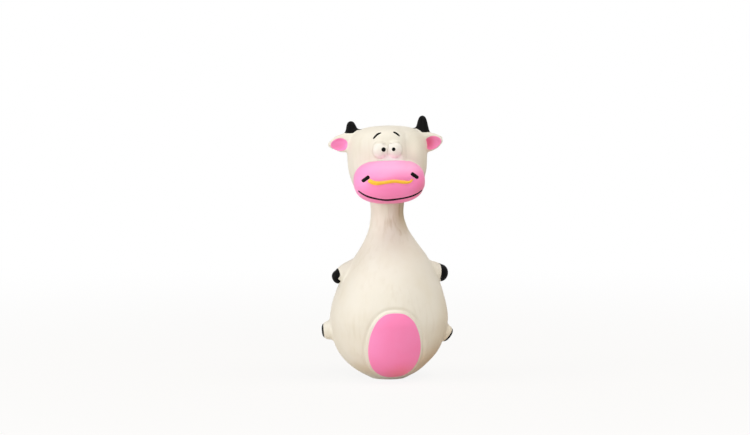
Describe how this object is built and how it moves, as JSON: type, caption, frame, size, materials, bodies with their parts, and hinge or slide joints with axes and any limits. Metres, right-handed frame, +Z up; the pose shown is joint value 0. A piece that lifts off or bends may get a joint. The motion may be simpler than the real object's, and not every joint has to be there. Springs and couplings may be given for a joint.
{
  "type": "squeaky rubber dog toy",
  "caption": "Hollow latex dog toy: a sitting cartoon cow with a pear-shaped body, long neck and wide muzzle, standing on a flat foot that holds a push-in reed squeaker.",
  "frame": {"origin": "on the body's axis in the plane of the foot", "axes": "+Z up the neck, -Y the way the cow looks, +X to the right of someone who faces it"},
  "size_m": [0.0676, 0.0609, 0.1343],
  "materials": {
    "cream_latex": "satin",
    "muzzle_pink_latex": "satin",
    "belly_pink_latex": "satin",
    "white_latex": "satin",
    "black_latex": "satin",
    "yellow_latex": "satin",
    "squeaker_plastic": "natural white, smooth",
    "reed_film": "smooth film"
  },
  "bodies": {
    "toy": {"latex_skin": "cream_latex", "muzzle_paint": "muzzle_pink_latex", "belly_paint": "belly_pink_latex", "nose_ring": "yellow_latex", "mouth_line": "black_latex", "nostril_left": "black_latex", "nostril_right": "black_latex", "eye_white_left": "white_latex", "eye_white_right": "white_latex", "pupil_left": "black_latex", "pupil_right": "black_latex", "brow_left": "black_latex", "brow_right": "black_latex", "ear_paint_left": "muzzle_pink_latex", "ear_paint_right": "muzzle_pink_latex", "horn_paint_left": "black_latex", "horn_paint_right": "black_latex", "fore_hoof_paint_left": "black_latex", "fore_hoof_paint_right": "black_latex", "hind_hoof_paint_left": "black_latex", "hind_hoof_paint_right": "black_latex", "squeaker_plug": "squeaker_plastic", "reed_seat": "squeaker_plastic", "reed_clamp": "squeaker_plastic"},
    "reed": {"squeaker_reed": "reed_film"}
  },
  "joints": [
    {"name": "reed_beat", "type": "hinge", "parent": "toy", "child": "reed", "pos_m": [0, 0.00045, 0.0063], "axis": [1, 0, 0], "range_deg": [-3, 1.5], "stiffness_Nm_per_rad": 0.001}
  ]
}
